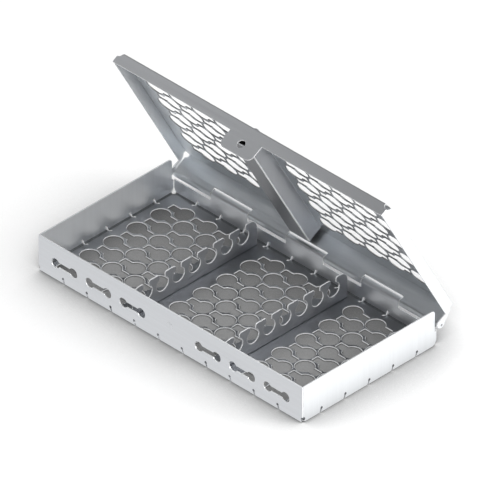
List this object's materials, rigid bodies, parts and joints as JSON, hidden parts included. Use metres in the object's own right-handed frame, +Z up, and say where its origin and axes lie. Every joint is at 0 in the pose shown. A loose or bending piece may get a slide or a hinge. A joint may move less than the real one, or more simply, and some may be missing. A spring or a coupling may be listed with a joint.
{
  "type": "dental instrument cassette",
  "caption": "Flat perforated sheet-steel instrument cassette: an open tray with slotted instrument combs and a perforated lid standing open on a rolled rear hinge, with a snap latch tab.",
  "frame": {"origin": "middle of the tray's flat underside", "axes": "+X to the right along the hinge, +Y from the latch side back to the hinge, +Z up"},
  "size_m": [0.284, 0.1602, 0.1548],
  "materials": {
    "tray_steel": "fine brushed stainless sheet",
    "lid_steel": "fine brushed stainless sheet",
    "comb_steel": "satin stainless sheet",
    "pin_steel": "drawn stainless wire"
  },
  "bodies": {
    "base": {"base_floor": "tray_steel", "base_front_wall": "tray_steel", "base_left_wall": "tray_steel", "base_right_wall": "tray_steel", "base_back_wall": "tray_steel", "base_knuckle_1": "tray_steel", "base_knuckle_2": "tray_steel", "base_knuckle_3": "tray_steel", "hinge_pin": "pin_steel", "comb_left": "comb_steel", "comb_right": "comb_steel", "latch_bump": "tray_steel"},
    "lid": {"lid_panel": "lid_steel", "lid_front_flange": "lid_steel", "latch_tab": "lid_steel", "lid_left_flange": "lid_steel", "lid_right_flange": "lid_steel", "lid_back_flange": "lid_steel", "lid_knuckle_1": "lid_steel", "lid_knuckle_2": "lid_steel", "lid_knuckle_3": "lid_steel", "lid_knuckle_4": "lid_steel", "hold_down_channel": "comb_steel", "stacking_stud": "lid_steel"}
  },
  "joints": [
    {"name": "lid_hinge", "type": "hinge", "parent": "base", "child": "lid", "pos_m": [0, 0.07405, 0.0174], "axis": [-1, 0, 0], "range_deg": [-61.1, 118]}
  ]
}
